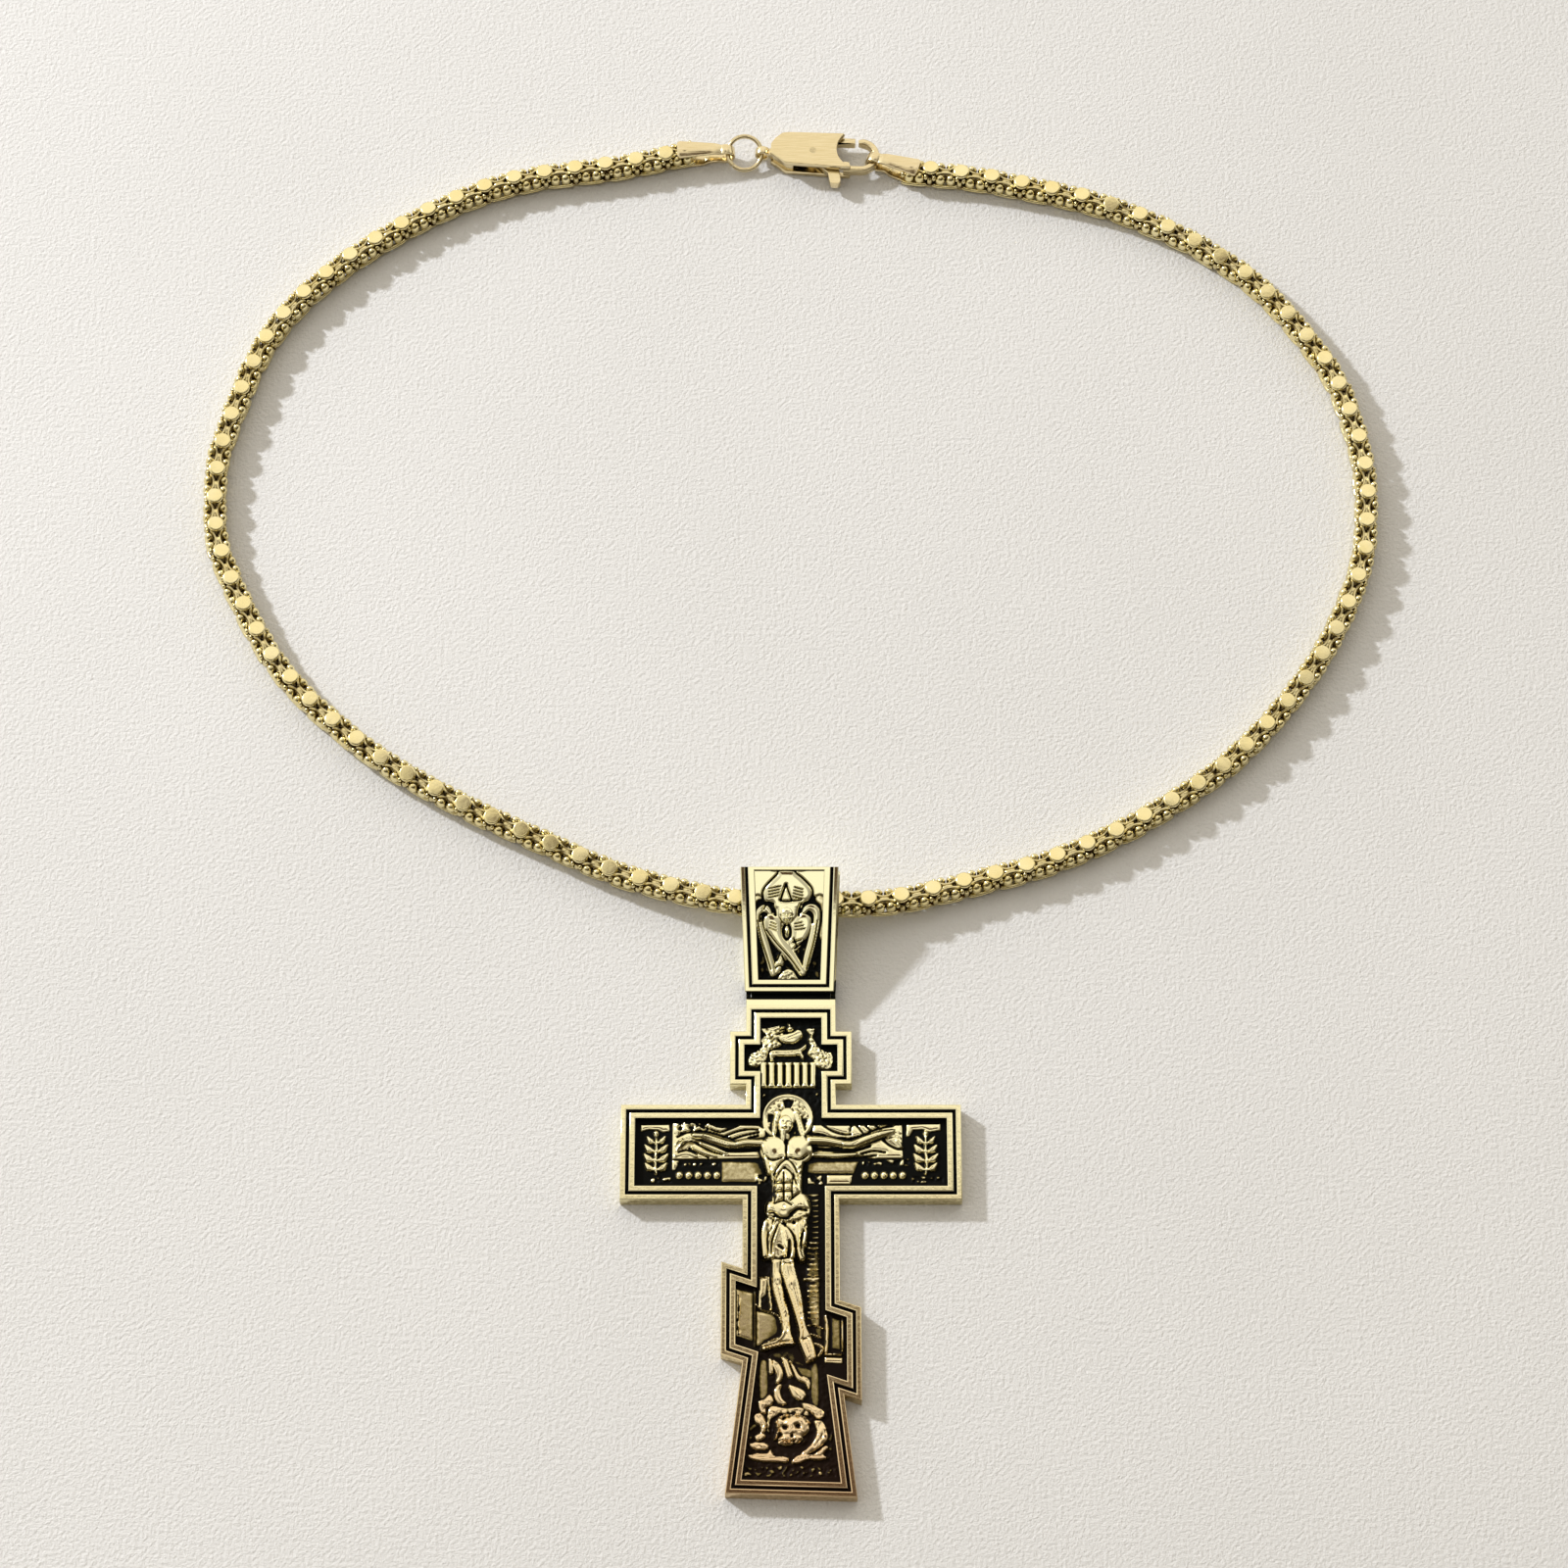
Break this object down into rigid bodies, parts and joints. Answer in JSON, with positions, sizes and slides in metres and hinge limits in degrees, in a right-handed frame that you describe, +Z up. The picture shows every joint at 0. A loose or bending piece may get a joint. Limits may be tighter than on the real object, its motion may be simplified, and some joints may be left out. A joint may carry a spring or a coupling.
{
  "type": "crucifix necklace",
  "caption": "Cast crucifix with a raised figure, hinged to a slide bail on a closed popcorn chain with end caps, jump ring and lobster clasp.",
  "frame": {"origin": "centre of the whole necklace on the surface that it lies on", "axes": "+X across the cross, +Y from the foot of the cross to the clasp, +Z up out of the surface, towards the viewer of the cross's face"},
  "size_m": [0.1673, 0.2074, 0.0083],
  "materials": {
    "cast_gold": "pale gold plate on a casting, polished ridges and relief over blackened recesses",
    "chain_gold": "bright gold plate on wire links",
    "polished_gold": "bright gold plate with a lightly brushed face"
  },
  "bodies": {
    "necklace": {"bail": "cast_gold", "hinge_pin": "polished_gold", "chain_left": "chain_gold", "chain_right": "chain_gold", "end_cap_left": "polished_gold", "end_cap_right": "polished_gold", "jump_ring": "polished_gold", "clasp_body": "polished_gold", "lever_pin": "polished_gold"},
    "cross": {"cross": "cast_gold"},
    "lever": {"clasp_lever": "polished_gold"}
  },
  "joints": [
    {"name": "cross_hinge", "type": "hinge", "parent": "necklace", "child": "cross", "pos_m": [0, -0.0338, 0.0012], "axis": [1, 0, 0], "range_deg": [-45, 75]},
    {"name": "gate_lever", "type": "hinge", "parent": "necklace", "child": "lever", "pos_m": [0.00331, 0.10024, 0.00175], "axis": [0, 0, -1], "range_deg": [0, 22], "stiffness_Nm_per_rad": 0.002}
  ]
}
